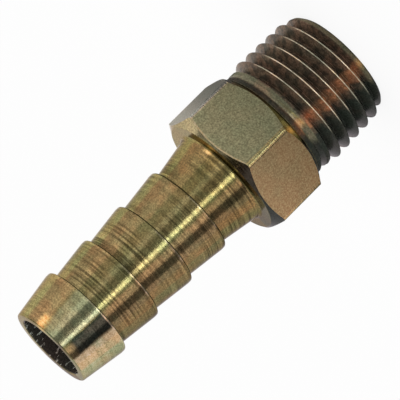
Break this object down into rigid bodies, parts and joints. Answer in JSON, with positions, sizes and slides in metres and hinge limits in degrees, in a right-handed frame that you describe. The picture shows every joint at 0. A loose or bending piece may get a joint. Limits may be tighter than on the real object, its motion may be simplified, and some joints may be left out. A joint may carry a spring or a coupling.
{
  "type": "hose barb tail",
  "caption": "Brass male taper pipe thread to barbed hose tail, with a spanner hexagon, a conical neck and a through bore.",
  "frame": {"origin": "centre of the flat end face of the threaded end, on which the part stands", "axes": "+Z along the bore from the threaded end towards the barbed mouth; two of the six spanner flats face +X and -X"},
  "size_m": [0.0142, 0.0164, 0.0421],
  "materials": {
    "brass": "turned brass, dull and slightly tarnished"
  },
  "bodies": {
    "root": {"hose_barb_tail": "brass"}
  },
  "joints": []
}
